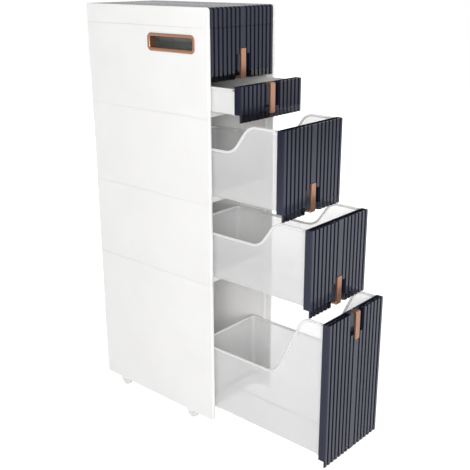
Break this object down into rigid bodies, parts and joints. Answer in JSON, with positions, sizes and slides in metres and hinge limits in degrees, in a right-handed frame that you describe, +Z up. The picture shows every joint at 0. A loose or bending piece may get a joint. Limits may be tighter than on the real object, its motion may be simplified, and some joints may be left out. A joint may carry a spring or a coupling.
{
  "type": "plastic drawer unit",
  "caption": "Slim upright plastic drawer unit on swivel casters, with fluted dark fronts, see-through milky drawer boxes and copper-coloured pulls and carry grips.",
  "frame": {"origin": "on the floor under the middle of the cabinet's plan", "axes": "+Z up, -Y towards the drawer fronts, +X to the right seen from the front"},
  "size_m": [0.23, 0.7324, 1.0214],
  "materials": {
    "white_shell": "satin",
    "smoked_front": "satin",
    "milky_box": "satin",
    "copper_trim": "satin",
    "caster_fork": "satin",
    "caster_wheel": "satin",
    "steel_fastener": "satin"
  },
  "bodies": {
    "cabinet": {"side_panel_left_base": "white_shell", "side_panel_right_base": "white_shell", "back_panel_base": "white_shell", "side_panel_left_lower": "white_shell", "side_panel_right_lower": "white_shell", "back_panel_lower": "white_shell", "side_panel_left_middle": "white_shell", "side_panel_right_middle": "white_shell", "back_panel_middle": "white_shell", "side_panel_left_upper": "white_shell", "side_panel_right_upper": "white_shell", "back_panel_upper": "white_shell", "divider_under_drawer_1": "white_shell", "divider_under_drawer_2": "white_shell", "divider_under_drawer_3": "white_shell", "divider_under_drawer_4": "white_shell", "base_tray": "white_shell", "lid_frame": "white_shell", "lid_cover": "smoked_front", "lid_cap_left": "white_shell", "lid_cap_right": "white_shell", "grip_bezel_left": "copper_trim", "grip_bezel_right": "copper_trim", "panel_pegs": "white_shell", "caster_stems": "steel_fastener"},
    "drawer_1": {"drawer_box_1": "milky_box", "drawer_front_1": "smoked_front", "drawer_pull_1": "copper_trim", "drawer_screws_1": "white_shell"},
    "drawer_2": {"drawer_box_2": "milky_box", "drawer_front_2": "smoked_front", "drawer_pull_2": "copper_trim", "drawer_screws_2": "white_shell"},
    "drawer_3": {"drawer_box_3": "milky_box", "drawer_front_3": "smoked_front", "drawer_pull_3": "copper_trim", "drawer_screws_3": "white_shell"},
    "drawer_4": {"drawer_box_4": "milky_box", "drawer_front_4": "smoked_front", "drawer_pull_4": "copper_trim", "drawer_screws_4": "white_shell"},
    "drawer_5": {"drawer_box_5": "milky_box", "drawer_front_5": "smoked_front", "drawer_pull_5": "copper_trim", "drawer_screws_5": "white_shell"},
    "caster_front_left": {"caster_fork_front_left": "caster_fork", "caster_axle_front_left": "steel_fastener"},
    "wheel_front_left": {"caster_wheel_front_left": "caster_wheel"},
    "caster_front_right": {"caster_fork_front_right": "caster_fork", "caster_axle_front_right": "steel_fastener"},
    "wheel_front_right": {"caster_wheel_front_right": "caster_wheel"},
    "caster_rear_left": {"caster_fork_rear_left": "caster_fork", "caster_axle_rear_left": "steel_fastener"},
    "wheel_rear_left": {"caster_wheel_rear_left": "caster_wheel"},
    "caster_rear_right": {"caster_fork_rear_right": "caster_fork", "caster_axle_rear_right": "steel_fastener"},
    "wheel_rear_right": {"caster_wheel_rear_right": "caster_wheel"}
  },
  "joints": [
    {"name": "drawer_1_slide", "type": "slide", "parent": "cabinet", "child": "drawer_1", "axis": [0, -1, 0], "range_m": [0, 0.3431]},
    {"name": "drawer_2_slide", "type": "slide", "parent": "cabinet", "child": "drawer_2", "axis": [0, -1, 0], "range_m": [-0.0848, 0.2583]},
    {"name": "drawer_3_slide", "type": "slide", "parent": "cabinet", "child": "drawer_3", "axis": [0, -1, 0], "range_m": [-0.2014, 0.1417]},
    {"name": "drawer_4_slide", "type": "slide", "parent": "cabinet", "child": "drawer_4", "axis": [0, -1, 0], "range_m": [-0.2784, 0.0647]},
    {"name": "drawer_5_slide", "type": "slide", "parent": "cabinet", "child": "drawer_5", "axis": [0, -1, 0], "range_m": [-0.3304, 0.0076]},
    {"name": "caster_front_left_swivel", "type": "hinge", "parent": "cabinet", "child": "caster_front_left", "pos_m": [-0.089, -0.098, 0.041], "axis": [0, 0, 1], "continuous": true},
    {"name": "wheel_front_left_spin", "type": "hinge", "parent": "caster_front_left", "child": "wheel_front_left", "pos_m": [-0.089, -0.107, 0.015], "axis": [1, 0, 0], "continuous": true},
    {"name": "caster_front_right_swivel", "type": "hinge", "parent": "cabinet", "child": "caster_front_right", "pos_m": [0.089, -0.098, 0.041], "axis": [0, 0, 1], "continuous": true},
    {"name": "wheel_front_right_spin", "type": "hinge", "parent": "caster_front_right", "child": "wheel_front_right", "pos_m": [0.089, -0.107, 0.015], "axis": [1, 0, 0], "continuous": true},
    {"name": "caster_rear_left_swivel", "type": "hinge", "parent": "cabinet", "child": "caster_rear_left", "pos_m": [-0.089, 0.16, 0.041], "axis": [0, 0, 1], "continuous": true},
    {"name": "wheel_rear_left_spin", "type": "hinge", "parent": "caster_rear_left", "child": "wheel_rear_left", "pos_m": [-0.089, 0.151, 0.015], "axis": [1, 0, 0], "continuous": true},
    {"name": "caster_rear_right_swivel", "type": "hinge", "parent": "cabinet", "child": "caster_rear_right", "pos_m": [0.089, 0.16, 0.041], "axis": [0, 0, 1], "continuous": true},
    {"name": "wheel_rear_right_spin", "type": "hinge", "parent": "caster_rear_right", "child": "wheel_rear_right", "pos_m": [0.089, 0.151, 0.015], "axis": [1, 0, 0], "continuous": true}
  ]
}
